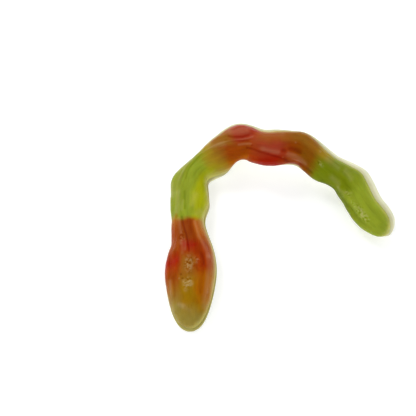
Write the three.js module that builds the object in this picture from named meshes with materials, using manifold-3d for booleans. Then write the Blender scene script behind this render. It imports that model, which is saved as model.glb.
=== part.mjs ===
// A gummy snake with a foam back: a clear fruit jelly top cast over a pale foam belly.
// It lies in a bend with its head and tail on the table and its middle raised in a low arch.
// Units are millimetres, +Z is up, and the origin is on the table under the middle of the snake.
// "Along" is a distance from the snout down the belly line. "Across" is a distance from that
// line, positive to the right of someone who walks from the snout to the tail.

import * as THREE from 'three';
import { mergeVertices } from 'three/addons/utils/BufferGeometryUtils.js';
import Module from 'manifold-3d';

const wasm = await Module();
wasm.setup();

// Belly line, seen from above: down the head, round the elbow, over the arch and down to the tail
const BELLY_POINTS = [
  [-30.2, -37.8],
  [-30.0, -21.0],
  [-29.8, -9.5],
  [-31.0, -1.5],
  [-30.8, 9.0],
  [-27.8, 18.0],
  [-21.0, 24.8],
  [-16.0, 27.4],
  [-10.6, 28.1],
  [-5.0, 27.0],
  [4.0, 26.4],
  [9.6, 25.4],
  [18.2, 21.0],
  [25.0, 17.2],
  [29.4, 11.8],
  [33.4, 4.0],
  [39.8, -1.7],
];

// Body
const HALF_WIDTH = 6.7;
const THICKNESS = 8.6;
const SNOUT_ROUND = 13.8;
const TAIL_ROUND = 12;
const END_POWER = 2.3;
const SNOUT_RISE = 6.5;
const TAIL_RISE = 8;

// Foam belly
const FOAM_DRAFT = THREE.MathUtils.degToRad(14);
const FOAM_EDGE_POWER = 6;
const FOAM_STOPS = [[0, 1.7], [40, 2.2], [84, 2.7], [122, 3.3], [140, 3.1]];
const LAYER_GAP = 0.25;

// Jelly section: how full its flanks and its crown are, and how far the flanks stand out
const FLANK_POWER = 2.5;
const CROWN_POWER = 2.2;
const FLANK_BULGE = 0.5;
const JELLY_SET_BACK = 0.3;

// Pose: turn about the belly line in degrees (positive leans to the right), and height of the arch
const ROLL_STOPS = [
  [0, -8],
  [44, -8],
  [54, -6],
  [74, 34],
  [84, 38],
  [95, 24],
  [106, 41],
  [122, 54],
  [140, 54],
];
const ARCH_STOPS = [[50, 0], [86, 6.5], [120, 0]];
const SAG_STOPS = [[0, 0.9], [44, 0.9], [60, 0.5], [140, 0.5]];

// Swells and waists of both flanks, then of the left and right flank alone
const WIDTH_SWELLS = [
  { at: 20, reach: 10, grow: 2.1 },
  { at: 31.5, reach: 3.5, grow: -0.4 },
  { at: 38.5, reach: 4.5, grow: -0.75 },
  { at: 59, reach: 5, grow: -0.7 },
  { at: 112, reach: 8, grow: -0.7 },
];
const LEFT_SWELLS = [
  { at: 12, reach: 13, grow: 0.5 },
  { at: 52, reach: 3.5, grow: 1.6 },
  { at: 74, reach: 4.5, grow: 2.0 },
  { at: 83, reach: 6, grow: -0.9 },
  { at: 96, reach: 3, grow: 0.6 },
  { at: 106, reach: 6, grow: -1.1 },
  { at: 119, reach: 3, grow: 0.8 },
  { at: 128, reach: 5, grow: -0.8 },
];
const RIGHT_SWELLS = [
  { at: 45, reach: 4, grow: 1.0 },
  { at: 56.5, reach: 5, grow: -1.8 },
  { at: 65, reach: 3, grow: 0.4 },
  { at: 73, reach: 6, grow: -2.0 },
  { at: 86, reach: 4, grow: 0.6 },
  { at: 94, reach: 5, grow: -1.1 },
  { at: 105.5, reach: 2.5, grow: 0.6 },
  { at: 111, reach: 4.5, grow: -0.6 },
  { at: 134, reach: 4, grow: -0.5 },
];

// Swells of the thickness
const HEIGHT_SWELLS = [
  { at: 3, reach: 6.5, grow: -1.8 },
  { at: 25, reach: 9, grow: 1.5 },
  { at: 78, reach: 5, grow: 0.7 },
  { at: 105, reach: 8, grow: -0.5 },
];

// Round bumps and hollows; a long one is drawn out along the body that many times
const BUMPS = [
  { along: 13.6, across: 0.8, radius: 1.1, rise: 0.35, long: 1 },
  { along: 15.3, across: -2.9, radius: 0.9, rise: 0.4, long: 1 },
  { along: 16.0, across: -1.9, radius: 0.7, rise: -0.3, long: 1.5 },
  { along: 20.3, across: 0.4, radius: 1.7, rise: 0.3, long: 2.4 },
  { along: 20.8, across: -3.8, radius: 1.2, rise: 0.35, long: 1.2 },
  { along: 21.4, across: 3.5, radius: 1.1, rise: 0.35, long: 1.2 },
  { along: 30.8, across: -2.0, radius: 0.8, rise: -0.25, long: 1.2 },
  { along: 73.8, across: -6.4, radius: 1.9, rise: 0.9, long: 1.7 },
  { along: 84.5, across: -2.2, radius: 2.6, rise: 0.45, long: 2 },
  { along: 85.5, across: 4.1, radius: 1.3, rise: 0.4, long: 2.4 },
  { along: 89.7, across: 0.5, radius: 1.0, rise: -0.4, long: 1 },
  { along: 95.0, across: -0.1, radius: 1.5, rise: -0.45, long: 2 },
  { along: 116.0, across: -4.2, radius: 1.4, rise: 0.35, long: 2 },
  { along: 118.5, across: -2.2, radius: 1.7, rise: -0.4, long: 1.8 },
  { along: 129.5, across: -0.6, radius: 1.1, rise: 0.35, long: 1 },
  { along: 129.5, across: 1.9, radius: 1.3, rise: -0.4, long: 1.6 },
];

// Ring grooves round the eyes
const RINGS = [
  { along: 20.8, across: -3.8, radius: 2.0, width: 0.8, rise: -0.2 },
  { along: 21.4, across: 3.5, radius: 2.0, width: 0.8, rise: -0.2 },
];

// Creases and ridges, each through a few points by along and across
const NECK_CREASES = [
  { through: [[24.5, 0.2], [30, -0.4], [38.5, -1.2]], width: 0.8, rise: -0.4 },
  { through: [[25, -1.5], [31, -2.0], [37, -2.4]], width: 0.9, rise: 0.3 },
  { through: [[39, 1.6], [29, 2.6]], width: 1.0, rise: -0.2 },
  { through: [[37, 3.3], [30, 3.9], [25, 5.9], [21, 6.5]], width: 0.8, rise: 0.4 },
  { through: [[40, -4.8], [27, -5.6]], width: 1.0, rise: -0.3 },
  { through: [[28, -6.4], [12, -6.4]], width: 1.0, rise: -0.35 },
  { through: [[19, 5.4], [8, 5.0]], width: 0.9, rise: 0.35 },
];
const BACK_CREASES = [
  { through: [[40.5, -2.5], [47, -3.0]], width: 0.8, rise: 0.4 },
  { through: [[41, -0.1], [47, -0.9], [52, -1.0]], width: 0.8, rise: -0.25 },
  { through: [[42, 2.4], [47, 2.8]], width: 0.9, rise: 0.35 },
  { through: [[50, -3.2], [56, -2.2], [63, -3.8]], width: 0.9, rise: -0.3 },
  { through: [[52, -0.6], [60, -0.3]], width: 1.0, rise: -0.2 },
];
const MIDDLE_CREASES = [
  { through: [[69.6, -5.2], [72.2, -4.7], [76, -4.1], [78.5, -4.7]], width: 0.7, rise: -0.35 },
  { through: [[64.5, -3.1], [71.7, -3.3], [78, -2.4]], width: 0.8, rise: -0.35 },
  { through: [[71.7, -2.1], [79, -1.2]], width: 0.8, rise: 0.25 },
  { through: [[76, 0], [81, 0.5], [86, 2.2], [97, 4.7]], width: 1.1, rise: -0.6 },
  { through: [[91.5, 1.7], [95, 2.7], [99, 1.8]], width: 1.0, rise: 0.45 },
  { through: [[96, 4.7], [104, 3.7]], width: 0.8, rise: -0.4 },
];
const TAIL_CREASES = [
  { through: [[106, 0.9], [112, 0.6], [118, 1.2], [121.3, 0.2]], width: 1.0, rise: 0.5 },
  { through: [[121.3, 0.2], [123.5, -1.6]], width: 1.0, rise: 0.4 },
  { through: [[122, 1.4], [126, 0.6], [131, -2.2]], width: 1.1, rise: 0.3 },
];
const CREASES = [...NECK_CREASES, ...BACK_CREASES, ...MIDDLE_CREASES, ...TAIL_CREASES];

// Mouth: a crease bent round the snout
const MOUTH_ALONG = 5.2;
const MOUTH_BEND = 0.13;
const MOUTH_WIDTH = 0.9;
const MOUTH_DEPTH = 0.3;

// Fineness of the surfaces
const HEAD_LENGTH = 46;
const HEAD_STEP = 0.9;
const BODY_STEP = 1.3;
const SNOUT_ROWS = 7;
const SNOUT_SWEEP = Math.PI / 4;
const TAIL_ROWS = 6;
const TAIL_SWEEP = Math.PI / 3;
const CROWN_COLUMNS = 30;
const SEAT_COLUMNS = 5;
const FOAM_COLUMNS = 14;
const LINE_DIVISIONS = 600;
const MERGE_DISTANCE = 1e-5;

// Table that the belly is pressed against
const TABLE_SIDE = 200;
const TABLE_DEPTH = 10;

// Colours from the photograph
const JELLY_COLOUR = '#8f7a2e';
const FOAM_COLOUR = '#e3dfb4';

const bellyLine = new THREE.CatmullRomCurve3(
  BELLY_POINTS.map(([x, y]) => new THREE.Vector3(x, y, 0)),
  false,
  'centripetal',
);
bellyLine.arcLengthDivisions = LINE_DIVISIONS;
const BODY_LENGTH = bellyLine.getLength();

// A value that eases from stop to stop along the body
function eased(stops, along) {
  let value = stops[0][1];
  for (let i = 1; i < stops.length; i += 1) {
    const [start, before] = stops[i - 1];
    const [end, after] = stops[i];
    if (along > start) {
      value = before + (after - before) * THREE.MathUtils.smoothstep(along, start, end);
    }
  }
  return value;
}

// Bell curve: one in its middle, and nearly zero two widths away
function bell(distance, width) {
  return Math.exp(-((distance / width) ** 2));
}

// Sum of bell-shaped swells at one distance along the body
function swollen(swells, along) {
  return swells.reduce((sum, { at, reach, grow }) => sum + grow * bell(along - at, reach), 0);
}

// Round end of a plan or a profile: zero at the tip, one where the round stretch ends
function rounded(distance, stretch) {
  const left = Math.max(0, 1 - distance / stretch);
  return (1 - left ** END_POWER) ** (1 / END_POWER);
}

// Half width of the belly on one side
function halfWidth(along, side) {
  const ends = rounded(along, SNOUT_ROUND) * rounded(BODY_LENGTH - along, TAIL_ROUND);
  const own = side > 0 ? RIGHT_SWELLS : LEFT_SWELLS;
  return (HALF_WIDTH + swollen(WIDTH_SWELLS, along) + swollen(own, along)) * ends;
}

// Height of the crown over the foam
function crownHeight(along) {
  const ends = rounded(along, SNOUT_RISE) * rounded(BODY_LENGTH - along, TAIL_RISE);
  return (THICKNESS - eased(FOAM_STOPS, along) + swollen(HEIGHT_SWELLS, along)) * ends;
}

// Distance of a point from a bent line, both given by along and across
function distanceToLine(along, across, through) {
  const point = new THREE.Vector3(along, across, 0);
  const corners = through.map(([x, y]) => new THREE.Vector3(x, y, 0));
  let nearest = Infinity;
  for (let i = 1; i < corners.length; i += 1) {
    const stretch = new THREE.Line3(corners[i - 1], corners[i]);
    const foot = stretch.closestPointToPoint(point, true, new THREE.Vector3());
    nearest = Math.min(nearest, foot.distanceTo(point));
  }
  return nearest;
}

// Moulded detail: how far the jelly stands out from its plain section
function relief(along, across) {
  let rise = 0;
  for (const bump of BUMPS) {
    const distance = Math.hypot((along - bump.along) / bump.long, across - bump.across);
    rise += bump.rise * bell(distance, bump.radius);
  }
  for (const ring of RINGS) {
    const distance = Math.hypot(along - ring.along, across - ring.across) - ring.radius;
    rise += ring.rise * bell(distance, ring.width);
  }
  for (const crease of CREASES) {
    rise += crease.rise * bell(distanceToLine(along, across, crease.through), crease.width);
  }
  const mouth = along - MOUTH_ALONG - MOUTH_BEND * across * across;
  return rise - MOUTH_DEPTH * bell(mouth, MOUTH_WIDTH);
}

// Place of the belly line and the directions of its section at one distance along the body
function sectionFrame(along) {
  const share = THREE.MathUtils.clamp(along / BODY_LENGTH, 0, 1);
  const ahead = bellyLine.getTangentAt(share);
  const level = new THREE.Vector3(ahead.y, -ahead.x, 0);
  const roll = THREE.MathUtils.degToRad(eased(ROLL_STOPS, along));
  const right = level.clone().multiplyScalar(Math.cos(roll)).setZ(-Math.sin(roll));
  const up = level.clone().multiplyScalar(Math.sin(roll)).setZ(Math.cos(roll));
  const place = bellyLine.getPointAt(share);
  const lowSide = halfWidth(along, Math.sign(roll)) * Math.abs(Math.sin(roll));
  place.z = lowSide + eased(ARCH_STOPS, along) - eased(SAG_STOPS, along);
  return { place, right, up };
}

// Distances from the snout at which the surfaces have a ring: closer on the head and at both tips
function stationsAlong() {
  const stations = [];
  for (let i = 0; i < SNOUT_ROWS; i += 1) {
    stations.push(SNOUT_ROUND * (1 - Math.cos((i / SNOUT_ROWS) * SNOUT_SWEEP)));
  }
  const headStart = SNOUT_ROUND * (1 - Math.cos(SNOUT_SWEEP));
  for (let along = headStart; along < HEAD_LENGTH; along += HEAD_STEP) stations.push(along);
  const tailStart = BODY_LENGTH - TAIL_ROUND * (1 - Math.cos(TAIL_SWEEP));
  const bodyRows = Math.round((tailStart - HEAD_LENGTH) / BODY_STEP);
  for (let i = 0; i < bodyRows; i += 1) {
    stations.push(HEAD_LENGTH + ((tailStart - HEAD_LENGTH) * i) / bodyRows);
  }
  for (let i = TAIL_ROWS; i >= 0; i -= 1) {
    stations.push(BODY_LENGTH - TAIL_ROUND * (1 - Math.cos((i / TAIL_ROWS) * TAIL_SWEEP)));
  }
  return stations;
}

// A ball whose poles become the snout and the tail, and whose rings become sections of the body.
// The set back keeps both of its tips that far inside the ends of the belly line.
function bodyFromBall(columns, pointOfSection, setBack) {
  const stations = stationsAlong();
  const rows = stations.length - 1;
  const ball = new THREE.SphereGeometry(1, columns, rows);
  const position = ball.getAttribute('position');
  const uv = ball.getAttribute('uv');
  for (let i = 0; i < position.count; i += 1) {
    const along = stations[Math.round((1 - uv.getY(i)) * rows)];
    const column = Math.round(uv.getX(i) * columns) % columns;
    const shown = THREE.MathUtils.lerp(setBack, BODY_LENGTH - setBack, along / BODY_LENGTH);
    const { place, right, up } = sectionFrame(shown);
    const { across, height } = pointOfSection(along, column);
    place.addScaledVector(right, across).addScaledVector(up, height);
    position.setXYZ(i, place.x, place.y, place.z);
  }
  ball.deleteAttribute('normal');
  ball.deleteAttribute('uv');
  return mergeVertices(ball, MERGE_DISTANCE);
}

// Jelly: a crown with full flanks over a flat seat
function jellyPoint(along, column) {
  const foam = eased(FOAM_STOPS, along);
  const seat = foam + LAYER_GAP;
  const inset = foam * Math.tan(FOAM_DRAFT);
  const reach = (side) => Math.max(0, halfWidth(along, side) - inset);
  if (column > CROWN_COLUMNS) {
    const share = (column - CROWN_COLUMNS) / SEAT_COLUMNS;
    return { across: THREE.MathUtils.lerp(-reach(-1), reach(1), share), height: seat };
  }
  const angle = (column / CROWN_COLUMNS) * Math.PI;
  const side = column * 2 < CROWN_COLUMNS ? 1 : -1;
  const flat = side * reach(side) * Math.abs(Math.cos(angle)) ** (2 / FLANK_POWER);
  const bulge = (FLANK_BULGE * Math.sin(2 * angle) * reach(side)) / HALF_WIDTH;
  const across = flat + bulge;
  const height = crownHeight(along) * Math.sin(angle) ** (2 / CROWN_POWER);
  const rise = relief(along, across) * Math.sin(angle) * rounded(along, SNOUT_RISE);
  return {
    across: across + rise * Math.cos(angle),
    height: seat + height + rise * Math.sin(angle),
  };
}

// Foam: a slab with round edges whose sides lean in towards the jelly
function foamPoint(along, column) {
  const foam = eased(FOAM_STOPS, along);
  const depth = foam * rounded(along, foam) * rounded(BODY_LENGTH - along, foam);
  const angle = (column / FOAM_COLUMNS) * 2 * Math.PI;
  const flat = (value) => Math.sign(value) * Math.abs(value) ** (2 / FOAM_EDGE_POWER);
  const height = foam / 2 + (depth / 2) * flat(Math.sin(angle));
  const side = Math.sign(Math.cos(angle)) || 1;
  const reach = Math.max(0, halfWidth(along, side) - height * Math.tan(FOAM_DRAFT));
  return { across: reach * flat(Math.cos(angle)), height };
}

function solidFrom(geometry) {
  const vertProperties = new Float32Array(geometry.getAttribute('position').array);
  const triVerts = new Uint32Array(geometry.index.array);
  return new wasm.Manifold(new wasm.Mesh({ numProp: 3, vertProperties, triVerts }));
}

function geometryFrom(solid) {
  const { vertProperties, triVerts } = solid.getMesh();
  const geometry = new THREE.BufferGeometry();
  geometry.setAttribute('position', new THREE.BufferAttribute(vertProperties, 3));
  geometry.setIndex(new THREE.BufferAttribute(triVerts, 1));
  return geometry;
}

// The soft belly is pressed flat where it meets the table
function pressedFlat(geometry) {
  const table = new THREE.BoxGeometry(TABLE_SIDE, TABLE_SIDE, TABLE_DEPTH);
  table.translate(0, 0, -TABLE_DEPTH / 2);
  table.deleteAttribute('normal');
  table.deleteAttribute('uv');
  return geometryFrom(solidFrom(geometry).subtract(solidFrom(mergeVertices(table))));
}

function jellyMesh() {
  const geometry = bodyFromBall(CROWN_COLUMNS + SEAT_COLUMNS, jellyPoint, JELLY_SET_BACK);
  const material = new THREE.MeshStandardMaterial({ color: JELLY_COLOUR, roughness: 0.3, metalness: 0 });
  const mesh = new THREE.Mesh(geometry, material);
  mesh.name = 'jelly';
  return mesh;
}

function foamMesh() {
  const geometry = pressedFlat(bodyFromBall(FOAM_COLUMNS, foamPoint, 0));
  const material = new THREE.MeshStandardMaterial({ color: FOAM_COLOUR, roughness: 0.6, metalness: 0 });
  const mesh = new THREE.Mesh(geometry, material);
  mesh.name = 'foam';
  return mesh;
}

const snake = new THREE.Group();
snake.add(jellyMesh(), foamMesh());

// The middle of the snake, seen from above, stands over the origin
const middle = new THREE.Box3().setFromObject(snake).getCenter(new THREE.Vector3());
snake.position.set(-middle.x, -middle.y, 0);

export default snake;
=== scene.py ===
"""Gummy snake: a clear fruit jelly top, cast in zones of colour over a whipped foam belly.

Lengths in the constants are millimetres, apart from the studio's and those that MM turns into
metres. "Along" is a distance from the snout down the belly line, "across" a distance from it,
positive to the right of someone who walks to the tail, and "height" a distance from the foam's
top towards the crown.
"""

import math

import bpy
import numpy as np
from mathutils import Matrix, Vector


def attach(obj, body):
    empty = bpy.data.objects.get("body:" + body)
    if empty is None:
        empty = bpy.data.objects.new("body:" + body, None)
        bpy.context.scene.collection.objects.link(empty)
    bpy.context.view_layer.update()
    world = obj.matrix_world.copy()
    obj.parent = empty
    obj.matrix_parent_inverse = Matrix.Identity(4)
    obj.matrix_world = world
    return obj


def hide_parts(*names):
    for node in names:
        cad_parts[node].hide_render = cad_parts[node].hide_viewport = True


bl_info = {
    "name": "Gummy Snake",
    "version": (1, 0, 0),
    "blender": (4, 5, 0),
    "location": "3D View > Sidebar > Gummy Snake",
    "description": "Dresses a cast gummy snake with its jelly, its foam and its studio",
    "category": "Object",
}

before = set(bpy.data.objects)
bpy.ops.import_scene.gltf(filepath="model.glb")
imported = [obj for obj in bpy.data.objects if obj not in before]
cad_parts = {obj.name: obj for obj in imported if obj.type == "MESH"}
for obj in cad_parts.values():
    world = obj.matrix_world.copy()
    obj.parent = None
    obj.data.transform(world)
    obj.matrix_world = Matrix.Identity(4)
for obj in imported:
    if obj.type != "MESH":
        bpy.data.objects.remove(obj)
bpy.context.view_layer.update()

MM = 0.001
MERGE_DISTANCE = 0.01 * MM
SHARP_CORNER = math.radians(50)
SMOOTHING = {"levels": 2, "render_levels": 2}
LEAST_WEIGHT = 0.01
PLACE = "on_body"

# How the solids lie: the belly line seen from above, the middle of their box, the lengths over
# which the ends round off, and by distances along the body its roll in degrees, the rise of the
# arch, the sag of the belly and the thickness of the foam
BELLY_POINTS = (
    (-30.2, -37.8), (-30.0, -21.0), (-29.8, -9.5), (-31.0, -1.5), (-30.8, 9.0), (-27.8, 18.0),
    (-21.0, 24.8), (-16.0, 27.4), (-10.6, 28.1), (-5.0, 27.0), (4.0, 26.4), (9.6, 25.4),
    (18.2, 21.0), (25.0, 17.2), (29.4, 11.8), (33.4, 4.0), (39.8, -1.7),
)
BOX_MIDDLE = (0.30, -1.63)
LINE_STEPS = 60
BODY_LENGTH = 139.6
SNOUT_ROUND = 13.8
TAIL_ROUND = 12
END_POWER = 2.3
ROLL_STOPS = (
    (0, -8), (44, -8), (54, -6), (74, 34), (84, 38), (95, 24), (106, 41), (122, 54), (140, 54),
)
ARCH_STOPS = ((50, 0), (86, 6.5), (120, 0))
SAG_STOPS = ((0, 0.9), (44, 0.9), (60, 0.5), (140, 0.5))
FOAM_STOPS = ((0, 1.7), (40, 2.2), (84, 2.7), (122, 3.3), (140, 3.1))
# Half width of the flank that the body leans on, and its swells: place, reach and growth
HALF_WIDTH = 6.7
LOW_SIDE_SWELLS = (
    (20, 10, 2.1), (31.5, 3.5, -0.4), (38.5, 4.5, -0.75), (59, 5, -0.7), (112, 8, -0.7),
    (45, 4, 1.0), (56.5, 5, -1.8), (65, 3, 0.4), (73, 6, -2.0), (86, 4, 0.6), (94, 5, -1.1),
    (105.5, 2.5, 0.6), (111, 4.5, -0.6), (134, 4, -0.5),
)

# Fine marks of the mould, and some flat ones that only carry a tint. Each has its points (along,
# across), its half width, how far it stands out in millimetres, and its tint: pale marks are
# painted sheen and highlights, partly thin or frosted jelly, and dark marks painted shade, partly
# deeper jelly
# Head: the snout's pale crescent and the pale bands along the flanks are painted highlights and
# sheen; the dark marks by the right eye and along the flanks are painted shade
HEAD_MARKS = (
    (((7.0, -3.1), (6.3, -1.7)), 0.8, 0.1, 1.0),
    (((5.5, -0.7), (5.0, 0.4)), 0.7, 0.05, 0.3),
    (((15, -6.2), (9, -5.8), (5.5, -4.8)), 0.6, 0.15, 0.5),
    (((23, 6.4), (19, 6.9), (15, 6.3), (10, 5.6), (6, 4.9)), 0.7, 0.2, 0.45),
    (((24, 4.4), (20, 5.4), (16, 4.8), (11, 4.4)), 0.6, -0.1, -0.25),
    (((16, -5.0), (10, -4.6)), 0.5, -0.1, -0.25),
    (((13.0, -0.9), (14.6, -1.6)), 0.5, 0.1, 0.5),
    (((19.5, 4.6), (21.5, 5.2), (23.5, 4.8)), 0.6, -0.05, -0.25),
    (((18.0, 3.6), (19.4, 2.4)), 0.5, -0.05, -0.2),
)
# Neck: the pink streaks and ridges are painted sheen; the dark crease and the dark lane beside the
# right ridge are painted shade
NECK_MARKS = (
    (((24.7, 0.2), (28, -0.2), (31.5, -0.4), (38.4, -1.2)), 0.35, -0.1, -0.6),
    (((28.6, -1.0), (25.2, -1.1)), 0.45, 0.1, 0.4),
    (((27.5, -2.1), (24.0, -2.0)), 0.45, 0.1, 0.3),
    (((28, -2.4), (33, -2.0), (37.5, -2.1)), 0.7, 0.1, 0.4),
    (((36, 3.2), (30, 3.7), (27.5, 4.8), (25, 5.9), (23, 6.5)), 0.55, 0.2, 0.6),
    (((36, 1.4), (30, 1.8), (24.5, 3.0)), 1.3, 0.0, -0.3),
)
# Back: the pale bands and streaks on the left are painted sheen and highlights; the dark lines are
# painted shade
BACK_MARKS = (
    (((40.3, -2.8), (44, -2.7), (47, -2.9)), 0.8, 0.1, 0.7),
    (((41, -1.3), (44, -1.0)), 0.6, 0.0, 0.4),
    (((41.3, -0.1), (44, -0.2), (47.5, -0.9)), 0.35, -0.05, -0.4),
    (((39.4, 3.8), (40.6, 4.8)), 1.0, 0.0, 0.5),
    (((42.5, 2.6), (46.8, 3.2)), 1.0, 0.05, 0.45),
    (((46, -5.2), (50, -6.4)), 0.6, 0.0, 0.6),
    (((53.5, -3.9), (58, -4.0)), 0.35, 0.1, 0.5),
    (((54, -5.8), (58, -5.0)), 0.8, 0.0, 1.2),
    (((61, -5.4), (64, -6.0), (69, -7.0)), 0.8, 0.0, 0.2),
    (((47, -4.3), (52, -4.4)), 1.2, 0.0, 0.4),
    (((52, -1.8), (57, -2.6), (61, -3.7)), 0.35, -0.05, -0.3),
    (((53.5, 0.6), (57.5, 0.5)), 1.0, 0.0, -0.15),
)
# Middle: the pale marks, among them the broad pink film on the high side, are painted sheen; the
# dark lines and spots are painted shade
MIDDLE_MARKS = (
    (((64.6, -4.5), (67.8, -3.2)), 1.0, 0.0, 0.4),
    (((70.5, -5.4), (72.2, -4.8), (75, -4.2), (77.3, -4.4)), 0.35, -0.05, -0.5),
    (((51, -4.1), (55, -3.7), (60, -4.1), (65, -3.8), (70, -3.9), (75, -3.4), (77.2, -3.4),
      (79, -3.9)), 0.3, 0.1, 0.5),
    (((69, -4.3), (71.7, -3.6), (75, -2.8), (77.5, -2.5)), 0.3, -0.05, -0.4),
    (((71.5, -6.8), (76.5, -6.2)), 1.3, 0.05, 0.5),
    (((73, -2.0), (76, -1.7), (79, -1.5)), 0.35, 0.05, 0.5),
    (((76.5, -0.2), (81, 0.5), (84, 1.5), (87, 2.6), (91, 3.9)), 0.4, -0.05, -0.5),
    (((81, -3.3), (88, -1.5)), 2.0, 0.0, 0.1),
    (((83, -5.0), (89, -4.8)), 0.9, 0.0, 0.2),
    (((83, -0.2), (87.5, 1.1)), 0.9, 0.0, 0.5),
    (((91.5, 1.7), (96, 2.9), (100, 3.0)), 0.9, 0.05, 0.5),
    (((89.4, 0.5), (90.0, 0.7)), 0.7, 0.0, -0.5),
    (((92, 0.0), (96, 0.6)), 0.8, 0.0, -0.45),
    (((90.5, 4.3), (95, 4.9), (100, 3.6), (103.8, 3.7)), 0.5, -0.05, -0.4),
)
# Tail: the pale marks along the ridge are painted highlights; the dark hollows and the dark band
# along the low side are painted shade
TAIL_MARKS = (
    (((106.5, -3.5), (111, -3.6)), 0.9, 0.0, 0.5),
    (((110.5, 0.4), (115.5, 0.6)), 1.0, 0.0, 0.5),
    (((114, -4.3), (118.5, -4.2)), 1.0, 0.0, 0.5),
    (((116.5, -2.4), (121, -2.0)), 1.5, 0.0, -0.2),
    (((116, 1.2), (118.5, 1.2), (121.3, 0.2), (122, -0.9), (123.3, -1.6)), 0.5, 0.05, 0.4),
    (((122.5, 0.1), (124.2, -0.5)), 0.4, 0.05, 0.3),
    (((130.6, 0.2), (130.9, -1.6)), 0.3, 0.1, 0.6),
    (((131.9, -0.2), (132.2, -1.6)), 0.3, 0.1, 0.5),
    (((127, 1.7), (131, 1.5)), 1.2, 0.0, -0.4),
    (((108, 4.2), (114, 4.0), (118, 3.0), (126, 3.0)), 0.8, 0.0, -0.4),
)
MARKS = HEAD_MARKS + NECK_MARKS + BACK_MARKS + MIDDLE_MARKS + TAIL_MARKS
# Small round specks (along, across) and rings (along, across, radius), pale ones and dark ones,
# which carry painted highlights and painted shade in their tint
PALE_SPECKS = ((15.3, -2.9), (89.5, 3.0), (93.7, -2.3), (103.2, -3.9))
DARK_SPECKS = ((15.3, -1.8), (16.7, -2.3), (79.3, -1.0))
SPECK_RADIUS = 0.3
SPECK_RISE = 0.2
PALE_RINGS = ((13.6, 0.8, 0.8), (11.5, -0.8, 0.4))
DARK_RINGS = ((30.8, -2.0, 0.9),)
RING_WIDTH = 0.3
RING_RISE = 0.1
SPECK_TINT = 0.7
RING_TINT = 0.5
# Patches of fine pimples from the mould: along, across, radius, how far they are drawn out, and
# how strong they are
PATCHES = (
    (20.2, 0.3, 1.5, 2.0, 0.8), (13.9, 0.0, 1.6, 1.2, 0.9), (21.6, 2.9, 0.9, 1.2, 0.5),
    (31.0, -1.8, 1.0, 2.2, 0.4), (105.2, -0.9, 0.8, 1.4, 0.8),
    (122.5, -0.4, 0.8, 2.5, 0.6), (127.0, 0.0, 0.9, 1.5, 0.5), (130.4, -0.8, 1.5, 1.6, 1.0),
)
# Marks and pimples stop this far over the foam, and no mark stands out more than the tallest
MARKS_FROM_HEIGHT = 1.0
TALLEST_MARK = 0.35
TINT = "tint"
PIMPLES = "pimples"

# Depths in shares of the foam's thickness: down to the first its skin rises fully to meet the
# jelly, and from the second on it stays
FOAM_RISES = 0.12
FOAM_STAYS = 0.52

# How clear the edge over the foam is, on the left and on the right, at distances along the body
CLEAR_EDGES = (
    (0, 0.2, 0.5), (10, 0.2, 0.6), (20, 0.1, 0.9), (28, 0.0, 1.0), (37, 0.0, 1.0), (41, 0.2, 0.7),
    (56, 0.1, 0.8), (66, 0.1, 0.8), (74, 0.2, 0.4), (79, 0.4, 0.0), (84, 0.7, 0.0), (88, 1.0, 0.0),
    (94, 0.9, 0.0), (99, 0.4, 0.0), (120, 0.3, 0.0), (130, 0.4, 0.2), (136, 0.5, 0.5),
    (140, 0.9, 0.9),
)
# How high the edge reaches where it isn't clear, and where it is, on the left and on the right,
# and how far to each side of the belly line the left turns into the right
LOWEST_REACH = 1.0
LEFT_REACH = 4.5
RIGHT_REACH = 7.0
SIDES_MEET = 2.0
# Heights over the foam where the jelly is thin and where its colour is full
THIN_HEIGHT = 0.3
FULL_HEIGHT = 4.0
# The foam takes on the jelly's colour, fully down to the first depth and not at all below the
# second. Between two distances along the body that fades to the share that the tail has
SEAM_DEPTH = 0.1
TINTED_DEPTH = 1.8
TINT_FADES = (40.0, 75.0)
TAIL_TINT = 0.45

# How far the zones of colour run into one another, and how wide their tongues are
RUN_ALONG = 3.5
RUN_ACROSS = 2.5
TONGUE_SIZE = 4 * MM
# Widths of the spots of painted glints and shade on the pimples and of the fine grain of the jelly,
# and of the foam's pores and clouds
SPOT_SIZE = 0.9 * MM
GRAIN_SIZE = 0.8 * MM
PORE_SIZE = 0.7 * MM
CLOUD_SIZE = 6 * MM
# Wrinkles for each millimetre along, across and in height: long ones, side by side
WRINKLES = (0.14, 0.9, 0.9)
# Noise values of the pits and of the tops of pimples, and the tints that these get: painted shade
# in the pits, painted glints on the tops
PIT_NOISE = 0.38
TOP_NOISE = 0.62
PIT_TINT = -0.8
TOP_TINT = 1.5
# Gamma of the colour in thin jelly, the painted shade that a dark mark adds to it, and the painted
# sheen on a pale one
THIN_GAMMA = 0.85
PIT_GAMMA = 0.5
TOP_SHEEN = 0.25
# Most values of a noise lie in this range, round its middle
NOISE_RANGE = {"From Min": 0.3, "From Max": 0.7}
NOISE_MIDDLE = 0.5
# Sockets of the colour mix, by number, because their names are used more than once
FACTOR = 0
FIRST = 6
SECOND = 7
MIXED = 2

# Colours of the jelly and the foam, sRGB
OLIVE = "#948135"
OCHRE = "#986f05"
TAN = "#996017"
RED = "#a13b05"
RUST = "#964102"
AMBER = "#a85f02"
LEAF = "#8d9b27"
MOSS = "#75820a"
LIME = "#a6ab0c"
SAGE = "#87931f"
KHAKI = "#9f821c"
BROWN = "#935f16"
UMBER = "#834c04"
EMBER = "#b05a02"
CRIMSON = "#9e1a02"
# Red with a pale painted sheen, for the high side of the middle
SHEENED_RED = "#a0331a"
SALMON = "#9a4c12"
# Pale colour that pale marks and pimple tops are mixed towards: painted sheen and glints, partly
# frost
FROST_AND_SHEEN = "#e6d4a6"
HONEY = "#cbc46c"
CREAM = "#e7e7c8"
BUTTER = "#a89e4e"
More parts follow.
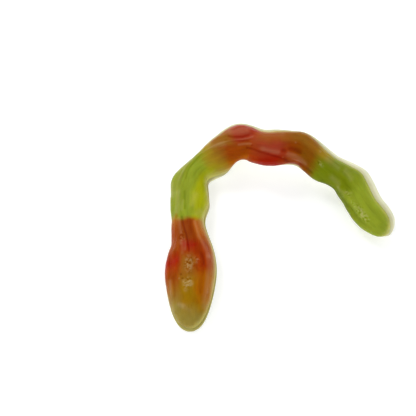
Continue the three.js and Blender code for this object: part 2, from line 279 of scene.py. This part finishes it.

# The colours poured along the body, in three lanes that lie side by side. A colour that stands
# twice in a row fills the stretch between
# The pinkish red on the middle's high side is red with a painted sheen
MIDDLE_LANE = (
    (0, "olive"), (3, "olive"), (8, "ochre"), (14, "ochre"), (17, "tan"), (21.5, "tan"),
    (24.5, "red"), (27, "crimson"), (30, "rust"), (37.0, "rust"), (39.2, "leaf"), (58, "leaf"),
    (62, "khaki"), (65, "brown"), (68, "rust"), (78, "rust"), (83.5, "sheened_red"), (88, "sheened_red"),
    (93, "rust"), (98, "umber"), (101, "umber"), (106.5, "moss"), (120, "moss"), (126, "leaf"),
    (140, "leaf"),
)
LEFT_LANE = (
    (0, "olive"), (6, "olive"), (12, "tan"), (16.5, "rust"), (18.5, "red"), (21.5, "crimson"),
    (26, "rust"), (34.5, "rust"), (37.5, "amber"), (40.5, "sage"), (60, "sage"), (63.5, "khaki"),
    (66, "brown"), (69, "brown"), (73, "sheened_red"), (79, "sheened_red"), (83, "salmon"), (87, "salmon"),
    (95, "brown"), (101, "brown"), (105, "khaki"), (109, "moss"), (115, "moss"), (124, "leaf"),
    (140, "leaf"),
)
RIGHT_LANE = (
    (0, "olive"), (3, "olive"), (6, "ochre"), (10, "amber"), (16, "amber"), (20, "red"),
    (27, "red"), (31, "ember"), (36.5, "ember"), (38.6, "lime"), (58, "lime"), (63, "khaki"),
    (66.5, "amber"), (70, "ember"), (76, "ember"), (83, "crimson"), (87, "crimson"), (93, "rust"),
    (96, "rust"), (102, "umber"), (105, "moss"), (128, "moss"), (133, "leaf"), (140, "leaf"),
)
# Where across the body the left and the right lane begin, and where they cover the middle one
LEFT_BORDER = (-1.5, -4.0)
RIGHT_BORDER = (1.0, 4.0)

# The studio in metres, the greys of its light tent from the horizon up, the point of the table
# that the camera looks at, and the camera's lens
TABLE_SIDE = 4.0
TENT_GREYS = ((0.0, 0.75), (0.5, 0.9), (0.9, 0.7))
BACK_LAMP_PLACE = (-0.28, 0.30, 0.45)
FRONT_LAMP_PLACE = (-0.28, -0.25, 0.48)
VIEW_MIDDLE = (-24.9, 8.93, 0.0)
LENS = 100
SENSOR_WIDTH = 36


def linear(hex_colour):
    """Turns an sRGB hex colour into linear RGB by the standard curve."""
    shares = (int(hex_colour[i:i + 2], 16) / 255 for i in (1, 3, 5))
    return tuple(s / 12.92 if s <= 0.04045 else ((s + 0.055) / 1.055) ** 2.4 for s in shares)


def swatch(name, description, hex_colour):
    """A colour that a user can change."""
    return bpy.props.FloatVectorProperty(
        name=name, description=description, default=linear(hex_colour),
        subtype="COLOR", size=3, min=0.0, max=1.0,
    )


def length(name, description, default, least=0.0):
    """A length that a user can change."""
    return bpy.props.FloatProperty(
        name=name, description=description, default=default, min=least, unit="LENGTH",
    )


def only(piece):
    """Selects one object and nothing else."""
    bpy.ops.object.select_all(action="DESELECT")
    piece.select_set(True)
    bpy.context.view_layer.objects.active = piece


def apply_modifier(piece, kind, **settings):
    """Adds a modifier with its settings and applies it."""
    only(piece)
    bpy.ops.object.modifier_add(type=kind)
    modifier = piece.modifiers[-1]
    for name, value in settings.items():
        setattr(modifier, name, value)
    bpy.ops.object.modifier_apply(modifier=modifier.name)


def piece_from_node(node, name):
    """A piece that starts as a copy of its solid, its points merged and its triangles paired."""
    piece = bpy.data.objects.new(name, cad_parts[node].data.copy())
    piece.data.materials.clear()
    bpy.context.scene.collection.objects.link(piece)
    only(piece)
    bpy.ops.object.mode_set(mode="EDIT")
    bpy.ops.mesh.select_all(action="SELECT")
    bpy.ops.mesh.remove_doubles(threshold=MERGE_DISTANCE)
    bpy.ops.mesh.tris_convert_to_quads()
    bpy.ops.object.mode_set(mode="OBJECT")
    bpy.ops.object.shade_smooth()
    return piece


def crease_corners(piece):
    """Keeps the sharp corners of a piece crisp when it is subdivided."""
    only(piece)
    bpy.ops.object.mode_set(mode="EDIT")
    bpy.ops.mesh.select_mode(type="EDGE")
    bpy.ops.mesh.select_all(action="DESELECT")
    bpy.ops.mesh.edges_select_sharp(sharpness=SHARP_CORNER)
    bpy.ops.transform.edge_crease(value=1.0)
    bpy.ops.object.mode_set(mode="OBJECT")


def eased(stops, along):
    """Values that ease from stop to stop along the body."""
    value = np.full_like(along, stops[0][1])
    for (start, before), (end, after) in zip(stops, stops[1:]):
        share = np.clip((along - start) / (end - start), 0, 1)
        change = (after - before) * share**2 * (3 - 2 * share)
        value = np.where(along > start, before + change, value)
    return value


def low_side(along):
    """Half width of the flank that the body leans on."""
    width = np.full_like(along, HALF_WIDTH)
    for at, reach, grow in LOW_SIDE_SWELLS:
        width += grow * np.exp(-(((along - at) / reach) ** 2))
    for distance, stretch in ((along, SNOUT_ROUND), (BODY_LENGTH - along, TAIL_ROUND)):
        left = np.clip(1 - distance / stretch, 0, 1)
        width *= (1 - left**END_POWER) ** (1 / END_POWER)
    return width


def between(start, end, begun, ended, time):
    """The point that a move from start to end has reached at a time."""
    return start + (end - start) * (time - begun) / (ended - begun)


def belly_line():
    """Points and distances of the centripetal Catmull-Rom curve through the belly points."""
    knots = np.array(BELLY_POINTS) - BOX_MIDDLE
    knots = np.vstack([2 * knots[0] - knots[1], knots, 2 * knots[-1] - knots[-2]])
    line = []
    for a, b, c, d in zip(knots, knots[1:], knots[2:], knots[3:]):
        at_b = math.sqrt(math.dist(a, b))
        at_c = at_b + math.sqrt(math.dist(b, c))
        at_d = at_c + math.sqrt(math.dist(c, d))
        for time in np.linspace(at_b, at_c, LINE_STEPS, endpoint=False):
            ab = between(a, b, 0.0, at_b, time)
            bc = between(b, c, at_b, at_c, time)
            cd = between(c, d, at_c, at_d, time)
            abc = between(ab, bc, 0.0, at_c, time)
            bcd = between(bc, cd, at_b, at_d, time)
            line.append(between(abc, bcd, at_b, at_c, time))
    steps = np.linalg.norm(np.diff(line, axis=0), axis=1)
    return np.array(line), np.concatenate([[0], np.cumsum(steps)])


def points_of(piece):
    """The piece's vertices as rows of x, y, z in millimetres."""
    flat = np.empty(len(piece.data.vertices) * 3)
    piece.data.vertices.foreach_get("co", flat)
    return flat.reshape(-1, 3) / MM


def store_place(piece):
    """Stores along, across and height of each vertex as an attribute of the piece."""
    points = points_of(piece)
    line, distances = belly_line()
    ahead = np.gradient(line, axis=0)
    ahead /= np.linalg.norm(ahead, axis=1)[:, None]
    gaps = ((points[:, None, :2] - line[None]) ** 2).sum(axis=2)
    nearest = gaps.argmin(axis=1)
    along = distances[nearest]
    level = np.column_stack([ahead[nearest, 1], -ahead[nearest, 0]])
    sideways = ((points[:, :2] - line[nearest]) * level).sum(axis=1)
    roll = np.radians(eased(ROLL_STOPS, along))
    lifted = low_side(along) * np.abs(np.sin(roll)) + eased(ARCH_STOPS, along)
    rise = points[:, 2] - (lifted - eased(SAG_STOPS, along))
    across = sideways * np.cos(roll) - rise * np.sin(roll)
    height = sideways * np.sin(roll) + rise * np.cos(roll) - eased(FOAM_STOPS, along)
    attribute = piece.data.attributes.new(PLACE, "FLOAT_VECTOR", "POINT")
    attribute.data.foreach_set("vector", np.column_stack([along, across, height]).ravel())


def place_of(piece):
    """The stored along, across and height of each vertex."""
    flat = np.empty(len(piece.data.vertices) * 3)
    piece.data.attributes[PLACE].data.foreach_get("vector", flat)
    return flat.reshape(-1, 3)


def store_value(piece, name, values):
    """Stores one number for each vertex as an attribute of the piece."""
    attribute = piece.data.attributes.new(name, "FLOAT", "POINT")
    attribute.data.foreach_set("value", values)


def distance_to_line(place, points):
    """Distance of each vertex from a bent line drawn by along and across."""
    nearest = np.full(len(place), np.inf)
    for start, end in zip(np.array(points), np.array(points[1:])):
        span = end - start
        share = np.clip((place[:, :2] - start) @ span / (span @ span), 0, 1)
        gap = np.linalg.norm(place[:, :2] - start - share[:, None] * span, axis=1)
        nearest = np.minimum(nearest, gap)
    return nearest


def distance_to_ring(place, along, across, radius):
    """Distance of each vertex from a ring, or from a point where the radius is zero."""
    return np.abs(np.linalg.norm(place[:, :2] - (along, across), axis=1) - radius)


def all_marks(place):
    """Distance, half width, rise and tint of each fine mark."""
    for points, half_width, rise, tint in MARKS:
        yield distance_to_line(place, points), half_width, rise, tint
    for sign, specks, rings in ((1, PALE_SPECKS, PALE_RINGS), (-1, DARK_SPECKS, DARK_RINGS)):
        for along, across in specks:
            distance = distance_to_ring(place, along, across, 0)
            yield distance, SPECK_RADIUS, sign * SPECK_RISE, sign * SPECK_TINT
        for ring in rings:
            yield distance_to_ring(place, *ring), RING_WIDTH, sign * RING_RISE, sign * RING_TINT


def weigh(piece, name, weights):
    """Gives a piece a vertex group with these weights."""
    group = piece.vertex_groups.new(name=name)
    for index in np.flatnonzero(weights > LEAST_WEIGHT):
        group.add([int(index)], float(min(weights[index], 1.0)), "REPLACE")


def mould_marks(piece):
    """Raises and presses the fine marks into the jelly's crown, and stores their tint of painted
    sheen and shade.
    """
    place = place_of(piece)
    rises = np.zeros(len(place))
    tints = np.zeros(len(place))
    for distance, half_width, rise, tint in all_marks(place):
        share = np.exp(-((distance / half_width) ** 2))
        rises += rise * share
        tints += tint * share
    on_crown = place[:, 2] > MARKS_FROM_HEIGHT
    rises = rises * on_crown / TALLEST_MARK
    weigh(piece, "raised", rises)
    weigh(piece, "pressed", -rises)
    for name, strength in (("raised", TALLEST_MARK * MM), ("pressed", -TALLEST_MARK * MM)):
        apply_modifier(piece, "DISPLACE", vertex_group=name, strength=strength, mid_level=0.0)
        piece.vertex_groups.remove(piece.vertex_groups[name])
    store_value(piece, TINT, np.clip(tints * on_crown, -1, 1))


def mould_pimples(piece, size, height):
    """Roughens the patches with fine pimples and stores where they are, for their painted glints
    and shade.
    """
    place = place_of(piece)
    shares = np.zeros(len(place))
    for along, across, radius, long, strength in PATCHES:
        gap = np.hypot((place[:, 0] - along) / long, place[:, 1] - across)
        shares += strength * np.exp(-((gap / radius) ** 4))
    shares *= place[:, 2] > MARKS_FROM_HEIGHT
    weigh(piece, PIMPLES, shares)
    texture = bpy.data.textures.new("mould_pimples", "CLOUDS")
    texture.noise_scale = size
    apply_modifier(
        piece, "DISPLACE", texture=texture, texture_coords="LOCAL", vertex_group=PIMPLES,
        strength=height, mid_level=NOISE_MIDDLE,
    )
    piece.vertex_groups.remove(piece.vertex_groups[PIMPLES])
    store_value(piece, PIMPLES, np.clip(shares, 0, 1))


def add_node(tree, kind, inputs=None, stops=None, **settings):
    """Adds a shader node with its settings, the stops of its ramp, and its values or links."""
    node = tree.nodes.new(kind)
    for name, value in settings.items():
        setattr(node, name, value)
    if stops:
        elements = node.color_ramp.elements
        while len(elements) < len(stops):
            elements.new(1.0)
        for element, (position, colour) in zip(elements, stops):
            element.position = position
            element.color = (*colour, 1.0)
    for name, value in (inputs or {}).items():
        if isinstance(value, bpy.types.NodeSocket):
            tree.links.new(value, node.inputs[name])
        else:
            node.inputs[name].default_value = value
    return node


def new_material(name):
    """An empty material and its node tree."""
    material = bpy.data.materials.new(name)
    material.use_nodes = True
    tree = material.node_tree
    tree.nodes.clear()
    return material, tree


class GummySnakeJelly(bpy.types.PropertyGroup):
    """Colours and finish of the jelly top."""

    olive: swatch("Olive", "Snout", OLIVE)
    ochre: swatch("Ochre", "Front of the head", OCHRE)
    tan: swatch("Tan", "Crown of the head", TAN)
    red: swatch("Red", "Back and flanks of the head", RED)
    rust: swatch("Rust", "Neck and hollows", RUST)
    amber: swatch("Amber", "Flanks of the head and the neck", AMBER)
    leaf: swatch("Leaf green", "Bright green stretches", LEAF)
    moss: swatch("Moss green", "Deep green stretches", MOSS)
    lime: swatch("Lime", "Inside of the bend behind the neck", LIME)
    sage: swatch("Sage", "Outside of the bend behind the neck", SAGE)
    khaki: swatch("Khaki", "Where green begins to turn red", KHAKI)
    brown: swatch("Brown", "Where red and green have mixed", BROWN)
    umber: swatch("Umber", "Where red runs into the green of the tail", UMBER)
    ember: swatch("Ember", "Right of the neck, inside of the elbow", EMBER)
    crimson: swatch("Crimson", "Low side of the middle, deep spots of the head", CRIMSON)
    # Red with a painted pale sheen, on the high side of the middle
    sheened_red: swatch("Rose", "High side of the middle", SHEENED_RED)
    salmon: swatch("Salmon", "Bulge of the elbow", SALMON)
    # Painted sheen and glints on pale marks and pimple tops, partly frost
    frost_and_sheen: swatch("Frost", "Pale bloom on raised marks", FROST_AND_SHEEN)
    honey: swatch("Honey", "Thin edge over the foam", HONEY)
    lump_size: length("Lump size", "Width of the soft lumps of the cast surface", 3 * MM, 0.5 * MM)
    lump_height: length("Lump height", "Height of the soft lumps of the cast surface", 0.25 * MM)
    pimple_size: length("Pimple size", "Width of the fine pimples in patches", 0.5 * MM, 0.1 * MM)
    pimple_height: length("Pimple height", "Height of the fine pimples in patches", 0.5 * MM)


class GummySnakeFoam(bpy.types.PropertyGroup):
    """Colours of the foam belly."""

    cream: swatch("Cream", "Whipped foam", CREAM)
    butter: swatch("Butter", "Foam that the jelly tints", BUTTER)
    layer_gap: length("Layer gap", "How far the foam's top rises to meet the jelly", 0.6 * MM)


class GummySnakeStudio(bpy.types.PropertyGroup):
    """Lamps and camera of the studio."""

    lamp_side: length("Lamp side", "Width of each soft lamp", 0.16, 0.05)
    back_power: bpy.props.FloatProperty(
        name="Back lamp", description="Power of the lamp behind the bend, on the left",
        default=0.8, min=0.0, unit="POWER",
    )
    front_power: bpy.props.FloatProperty(
        name="Front lamp", description="Power of the lamp in front, on the left",
        default=0.4, min=0.0, unit="POWER",
    )
    camera_distance: length(
        "Camera distance", "Distance from the camera to the middle of its view", 0.405, 0.1,
    )
    camera_elevation: bpy.props.FloatProperty(
        name="Camera elevation", description="Angle of the view above the table",
        default=math.radians(66), subtype="ANGLE",
    )


def add_lamp(name, place, side, power):
    """A square soft lamp that shines on the middle of the table."""
    bpy.ops.object.light_add(type="AREA", location=place)
    lamp = bpy.context.active_object
    lamp.name = name
    lamp.data.size = side
    lamp.data.energy = power
    lamp.rotation_euler = (-lamp.location).to_track_quat("-Z", "Y").to_euler()


def poured_colour(tree, look, position, along, across):
    """Three lanes of colour, which ran into one another by a millimetre or two in the mould.

    Gives the colour, and the share of the body's length that a point lies at.
    """
    wander = add_node(tree, "ShaderNodeTexNoise", {
        "Vector": position, "Scale": 1 / TONGUE_SIZE, "Detail": 2.0,
    })
    wandered = add_node(tree, "ShaderNodeSeparateXYZ", {"Vector": wander.outputs["Color"]})
    run = add_node(tree, "ShaderNodeMath", {
        0: wandered.outputs["X"], 1: RUN_ALONG, 2: along,
    }, operation="MULTIPLY_ADD")
    share = add_node(tree, "ShaderNodeMapRange", {
        "Value": run.outputs[0], "From Min": RUN_ALONG / 2, "From Max": BODY_LENGTH + RUN_ALONG / 2,
    })
    drift = add_node(tree, "ShaderNodeMath", {
        0: wandered.outputs["Y"], 1: RUN_ACROSS, 2: across,
    }, operation="MULTIPLY_ADD")
    colour, left, right = (
        add_node(
            tree, "ShaderNodeValToRGB", {"Fac": share.outputs[0]},
            stops=[(at / BODY_LENGTH, tuple(getattr(look, name))) for at, name in lane],
        ).outputs["Color"]
        for lane in (MIDDLE_LANE, LEFT_LANE, RIGHT_LANE)
    )
    for lane, (begins, covers) in ((left, LEFT_BORDER), (right, RIGHT_BORDER)):
        cover = add_node(tree, "ShaderNodeMapRange", {
            "Value": drift.outputs[0],
            "From Min": RUN_ACROSS / 2 + begins, "From Max": RUN_ACROSS / 2 + covers,
        }, interpolation_type="SMOOTHSTEP")
        mixed = add_node(tree, "ShaderNodeMix", {
            FACTOR: cover.outputs[0], FIRST: colour, SECOND: lane,
        }, data_type="RGBA")
        colour = mixed.outputs[MIXED]
    return colour, share.outputs[0]


def marked_colour(tree, look, position, height, colour):
    """The colour with painted shade in its pits and dark marks, and painted sheen on its pale
    marks.
    """
    tint = add_node(tree, "ShaderNodeAttribute", attribute_name=TINT)
    patch = add_node(tree, "ShaderNodeAttribute", attribute_name=PIMPLES)

    # The tops of the pimples get painted glints and the pits between them painted shade, from a
    # fine noise
    spots = add_node(tree, "ShaderNodeTexNoise", {
        "Vector": position, "Scale": 1 / SPOT_SIZE, "Detail": 2.0,
    })
    pimple_glint_and_shade = add_node(tree, "ShaderNodeMapRange", {
        "Value": spots.outputs["Fac"], "From Min": PIT_NOISE, "From Max": TOP_NOISE,
        "To Min": PIT_TINT, "To Max": TOP_TINT,
    })
    marked = add_node(tree, "ShaderNodeMath", {
        0: pimple_glint_and_shade.outputs[0], 1: patch.outputs["Fac"], 2: tint.outputs["Fac"],
    }, operation="MULTIPLY_ADD")

    # Light passes through less jelly near the foam, so the colour thins out there
    depth = add_node(tree, "ShaderNodeMapRange", {
        "Value": height, "From Min": THIN_HEIGHT, "From Max": FULL_HEIGHT,
        "To Min": THIN_GAMMA, "To Max": 1.0,
    }, interpolation_type="SMOOTHSTEP")
    # Pits and dark marks get painted shade, partly standing for deeper jelly, as a stronger gamma
    mark_shade = add_node(tree, "ShaderNodeMapRange", {
        "Value": marked.outputs[0], "From Min": 0.0, "From Max": -1.0,
        "To Min": 0.0, "To Max": PIT_GAMMA,
    })
    deepened = add_node(tree, "ShaderNodeMath", {0: depth.outputs[0], 1: mark_shade.outputs[0]})
    thinned_and_shaded = add_node(tree, "ShaderNodeGamma", {"Color": colour, "Gamma": deepened.outputs[0]})
    # Pale marks and pimple tops get a painted sheen, mixed towards the frost colour
    sheen = add_node(tree, "ShaderNodeMapRange", {
        "Value": marked.outputs[0], "From Min": 0.0, "From Max": TOP_TINT,
        "To Min": 0.0, "To Max": TOP_SHEEN,
    })
    sheened = add_node(tree, "ShaderNodeMix", {
        FACTOR: sheen.outputs[0], FIRST: thinned_and_shaded.outputs[0], SECOND: (*look.frost_and_sheen, 1.0),
    }, data_type="RGBA")
    return sheened.outputs[MIXED]


def edged_colour(tree, look, share, across, height, colour):
    """The colour with its edge, so thin that the foam shows through it, more or less of it."""
    clear = add_node(
        tree, "ShaderNodeValToRGB", {"Fac": share},
        stops=[(at / BODY_LENGTH, (left, right, 0.0)) for at, left, right in CLEAR_EDGES],
    )
    sides = add_node(tree, "ShaderNodeSeparateColor", {"Color": clear.outputs["Color"]})
    side = add_node(tree, "ShaderNodeMapRange", {
        "Value": across, "From Min": -SIDES_MEET, "From Max": SIDES_MEET,
        "To Min": sides.outputs["Red"], "To Max": sides.outputs["Green"],
    })
    reach = add_node(tree, "ShaderNodeMapRange", {
        "Value": across, "From Min": -SIDES_MEET, "From Max": SIDES_MEET,
        "To Min": LEFT_REACH, "To Max": RIGHT_REACH,
    })
    clear_height = add_node(tree, "ShaderNodeMapRange", {
        "Value": side.outputs[0], "To Min": LOWEST_REACH, "To Max": reach.outputs[0],
    })
    edge = add_node(tree, "ShaderNodeMapRange", {
        "Value": height, "From Min": THIN_HEIGHT, "From Max": clear_height.outputs[0],
        "To Min": side.outputs[0], "To Max": 0.0,
    }, interpolation_type="SMOOTHSTEP")
    edged = add_node(tree, "ShaderNodeMix", {
        FACTOR: edge.outputs[0], FIRST: colour, SECOND: (*look.honey, 1.0),
    }, data_type="RGBA")
    return edged.outputs[MIXED]


def gelatine_jelly(look):
    """Starch-moulded gelatine jelly, polished with oil and wax.

    Light soaks some millimetres in, so thick parts look deep, and thin ones light and yellow from
    the foam behind them. The mould leaves soft wrinkles, and the oil gives soft highlights. The
    colour
    also carries painted light: a painted sheen on pale marks, wrinkle crests and pimple tops, and
    painted shade in dark marks, pits and wrinkle troughs.
    """
    material, tree = new_material("gelatine_jelly")
    position = add_node(tree, "ShaderNodeTexCoord").outputs["Object"]
    on_body = add_node(tree, "ShaderNodeAttribute", attribute_name=PLACE)
    place = add_node(tree, "ShaderNodeSeparateXYZ", {"Vector": on_body.outputs["Vector"]})
    along, across, height = place.outputs["X"], place.outputs["Y"], place.outputs["Z"]
    poured, share = poured_colour(tree, look, position, along, across)
    marked = marked_colour(tree, look, position, height, poured)
    edged = edged_colour(tree, look, share, across, height, marked)

    # Wrinkles run lengthwise, about a millimetre apart
    stretched = add_node(tree, "ShaderNodeVectorMath", {
        0: on_body.outputs["Vector"], 1: WRINKLES,
    }, operation="MULTIPLY")
    wrinkles = add_node(tree, "ShaderNodeTexNoise", {
        "Vector": stretched.outputs[0], "Scale": 1.0, "Detail": 4.0, "Roughness": 0.5,
    })
    grain = add_node(tree, "ShaderNodeTexNoise", {
        "Vector": position, "Scale": 1 / GRAIN_SIZE, "Detail": 2.0,
    })
    # The colour is darker in the wrinkles' troughs and lighter on their crests: painted shade and
    # highlight
    shade = add_node(tree, "ShaderNodeMapRange", {
        "Value": wrinkles.outputs["Fac"], **NOISE_RANGE, "To Min": 0.9, "To Max": 1.1,
    })
    coloured = add_node(tree, "ShaderNodeHueSaturation", {
        "Color": edged, "Value": shade.outputs[0],
    })
    gloss = add_node(tree, "ShaderNodeMapRange", {
        "Value": grain.outputs["Fac"], **NOISE_RANGE, "To Min": 0.25, "To Max": 0.4,
    })
    wrinkle_bump = add_node(tree, "ShaderNodeBump", {
        "Height": wrinkles.outputs["Fac"], "Strength": 0.8, "Distance": 0.5 * MM,
    })
    grain_bump = add_node(tree, "ShaderNodeBump", {
        "Height": grain.outputs["Fac"], "Strength": 0.4, "Distance": 0.1 * MM,
        "Normal": wrinkle_bump.outputs[0],
    })
    surface = add_node(tree, "ShaderNodeBsdfPrincipled", {
        "Base Color": coloured.outputs[0], "Roughness": gloss.outputs[0], "IOR": 1.45,
        "Specular IOR Level": 0.07, "Specular Tint": (1.0, 0.8, 0.4, 1.0),
        "Subsurface Weight": 0.6, "Subsurface Radius": (1.0, 0.6, 0.3),
        "Subsurface Scale": 1.0 * MM, "Normal": grain_bump.outputs[0],
    })
    add_node(tree, "ShaderNodeOutputMaterial", {"Surface": surface.outputs[0]})
    return material


def whipped_foam(look):
    """Gelatine whipped full of air, so it scatters light at once and looks like pale cream.

    Close to the jelly it takes on a little of the jelly's colour, most under the head.
    """
    material, tree = new_material("whipped_foam")
    position = add_node(tree, "ShaderNodeTexCoord").outputs["Object"]
    on_body = add_node(tree, "ShaderNodeAttribute", attribute_name=PLACE)
    place = add_node(tree, "ShaderNodeSeparateXYZ", {"Vector": on_body.outputs["Vector"]})
    pores = add_node(tree, "ShaderNodeTexNoise", {
        "Vector": position, "Scale": 1 / PORE_SIZE, "Detail": 3.0,
    })
    cloud = add_node(tree, "ShaderNodeTexNoise", {
        "Vector": position, "Scale": 1 / CLOUD_SIZE, "Detail": 2.0,
    })
    shade = add_node(tree, "ShaderNodeMapRange", {
        "Value": cloud.outputs["Fac"], **NOISE_RANGE, "To Min": 0.93, "To Max": 1.04,
    })
    near_jelly = add_node(tree, "ShaderNodeMapRange", {
        "Value": place.outputs["Z"], "From Min": -TINTED_DEPTH, "From Max": -SEAM_DEPTH,
    }, interpolation_type="SMOOTHSTEP")
    tinted = add_node(tree, "ShaderNodeMapRange", {
        "Value": place.outputs["X"], "From Min": TINT_FADES[0], "From Max": TINT_FADES[1],
        "To Min": 1.0, "To Max": TAIL_TINT,
    })
    butter_share = add_node(tree, "ShaderNodeMath", {
        0: near_jelly.outputs[0], 1: tinted.outputs[0],
    }, operation="MULTIPLY")
    mixed = add_node(tree, "ShaderNodeMix", {
        FACTOR: butter_share.outputs[0], FIRST: (*look.cream, 1.0), SECOND: (*look.butter, 1.0),
    }, data_type="RGBA")
    coloured = add_node(tree, "ShaderNodeHueSaturation", {
        "Color": mixed.outputs[MIXED], "Value": shade.outputs[0],
    })
    bump = add_node(tree, "ShaderNodeBump", {
        "Height": pores.outputs["Fac"], "Strength": 0.3, "Distance": 0.1 * MM,
    })
    surface = add_node(tree, "ShaderNodeBsdfPrincipled", {
        "Base Color": coloured.outputs[0], "Roughness": 0.55, "IOR": 1.4,
        "Subsurface Weight": 0.7, "Subsurface Radius": (1.0, 0.9, 0.6),
        "Subsurface Scale": 1.0 * MM, "Normal": bump.outputs[0],
    })
    add_node(tree, "ShaderNodeOutputMaterial", {"Surface": surface.outputs[0]})
    return material


def opal_acrylic():
    """White acrylic of a light table: matt, and lit a little from below, so shadows stay light."""
    material, tree = new_material("opal_acrylic")
    surface = add_node(tree, "ShaderNodeBsdfPrincipled", {
        "Base Color": (0.8, 0.8, 0.8, 1.0), "Roughness": 0.9, "Specular IOR Level": 0.2,
        "Emission Color": (0.93, 0.96, 1.0, 1.0), "Emission Strength": 0.38,
    })
    add_node(tree, "ShaderNodeOutputMaterial", {"Surface": surface.outputs[0]})
    return material


class GUMMYSNAKE_OT_jelly(bpy.types.Operator):
    """Makes the jelly top with its moulded lines and its poured colours"""

    bl_idname = "gummy_snake.jelly"
    bl_label = "Jelly Top"

    def execute(self, context):
        look = context.scene.gummy_snake_jelly
        jelly = piece_from_node("jelly", "jelly_top")
        crease_corners(jelly)
        store_place(jelly)
        apply_modifier(jelly, "SUBSURF", **SMOOTHING)
        lumps = bpy.data.textures.new("cast_lumps", "CLOUDS")
        lumps.noise_scale = look.lump_size
        apply_modifier(
            jelly, "DISPLACE", texture=lumps, texture_coords="LOCAL",
            strength=look.lump_height, mid_level=NOISE_MIDDLE,
        )
        mould_marks(jelly)
        mould_pimples(jelly, look.pimple_size, look.pimple_height)
        jelly.data.materials.append(gelatine_jelly(look))
        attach(jelly, "root")
        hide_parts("jelly")
        return {"FINISHED"}


class GUMMYSNAKE_OT_foam(bpy.types.Operator):
    """Makes the foam belly, closed up against the jelly"""

    bl_idname = "gummy_snake.foam"
    bl_label = "Foam Belly"

    def execute(self, context):
        look = context.scene.gummy_snake_foam
        foam = piece_from_node("foam", "foam_belly")
        store_place(foam)
        apply_modifier(foam, "SUBSURF", **SMOOTHING)
        place = place_of(foam)
        depth = -place[:, 2] / eased(FOAM_STOPS, place[:, 0])
        weigh(foam, "top", np.clip((FOAM_STAYS - depth) / (FOAM_STAYS - FOAM_RISES), 0, 1))
        apply_modifier(foam, "DISPLACE", vertex_group="top", strength=look.layer_gap, mid_level=0.0)
        foam.vertex_groups.remove(foam.vertex_groups["top"])
        foam.data.materials.append(whipped_foam(look))
        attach(foam, "root")
        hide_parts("foam")
        return {"FINISHED"}


class GUMMYSNAKE_OT_studio(bpy.types.Operator):
    """Sets the white table, the soft lamps, the sky and the camera"""

    bl_idname = "gummy_snake.studio"
    bl_label = "Studio"

    def execute(self, context):
        look = context.scene.gummy_snake_studio
        scene = context.scene
        scene.view_settings.view_transform = "Standard"

        bpy.ops.mesh.primitive_plane_add(size=TABLE_SIDE)
        table = context.active_object
        table.name = "light_table"
        table.data.materials.append(opal_acrylic())

        world = bpy.data.worlds.new("light_tent")
        scene.world = world
        world.use_nodes = True
        tree = world.node_tree
        tree.nodes.clear()
        direction = add_node(tree, "ShaderNodeTexCoord").outputs["Generated"]
        up = add_node(tree, "ShaderNodeSeparateXYZ", {"Vector": direction}).outputs["Z"]
        tent = add_node(
            tree, "ShaderNodeValToRGB", {"Fac": up},
            stops=[(rise, (grey, grey, grey)) for rise, grey in TENT_GREYS],
        )
        sky = add_node(tree, "ShaderNodeBackground", {"Color": tent.outputs[0], "Strength": 1.0})
        add_node(tree, "ShaderNodeOutputWorld", {"Surface": sky.outputs[0]})

        add_lamp("back_lamp", BACK_LAMP_PLACE, look.lamp_side, look.back_power)
        add_lamp("front_lamp", FRONT_LAMP_PLACE, look.lamp_side, look.front_power)

        tilt = math.pi / 2 - look.camera_elevation
        back = Vector((0, -math.sin(tilt), math.cos(tilt))) * look.camera_distance
        bpy.ops.object.camera_add(location=Vector(VIEW_MIDDLE) * MM + back, rotation=(tilt, 0, 0))
        camera = context.active_object
        camera.data.lens = LENS
        camera.data.sensor_width = SENSOR_WIDTH
        scene.camera = camera
        return {"FINISHED"}


class GUMMYSNAKE_PT_panel(bpy.types.Panel):
    """Lists the sizes, the colours and the operators"""

    bl_label = "Gummy Snake"
    bl_idname = "GUMMYSNAKE_PT_panel"
    bl_space_type = "VIEW_3D"
    bl_region_type = "UI"
    bl_category = "Gummy Snake"

    def draw(self, context):
        for group, operator in STEPS:
            box = self.layout.box()
            settings = getattr(context.scene, group)
            for name in settings.__annotations__:
                box.prop(settings, name)
            box.operator(operator)


STEPS = (
    ("gummy_snake_jelly", "gummy_snake.jelly"),
    ("gummy_snake_foam", "gummy_snake.foam"),
    ("gummy_snake_studio", "gummy_snake.studio"),
)
GROUPS = (GummySnakeJelly, GummySnakeFoam, GummySnakeStudio)
CLASSES = (
    *GROUPS, GUMMYSNAKE_OT_jelly, GUMMYSNAKE_OT_foam, GUMMYSNAKE_OT_studio, GUMMYSNAKE_PT_panel,
)


def register():
    for cls in CLASSES:
        bpy.utils.register_class(cls)
    for (name, _), group in zip(STEPS, GROUPS):
        setattr(bpy.types.Scene, name, bpy.props.PointerProperty(type=group))


def unregister():
    for name, _ in STEPS:
        delattr(bpy.types.Scene, name)
    for cls in reversed(CLASSES):
        bpy.utils.unregister_class(cls)


def main():
    register()
    bpy.ops.gummy_snake.jelly()
    bpy.ops.gummy_snake.foam()
    bpy.ops.gummy_snake.studio()


if __name__ == "__main__":
    main()
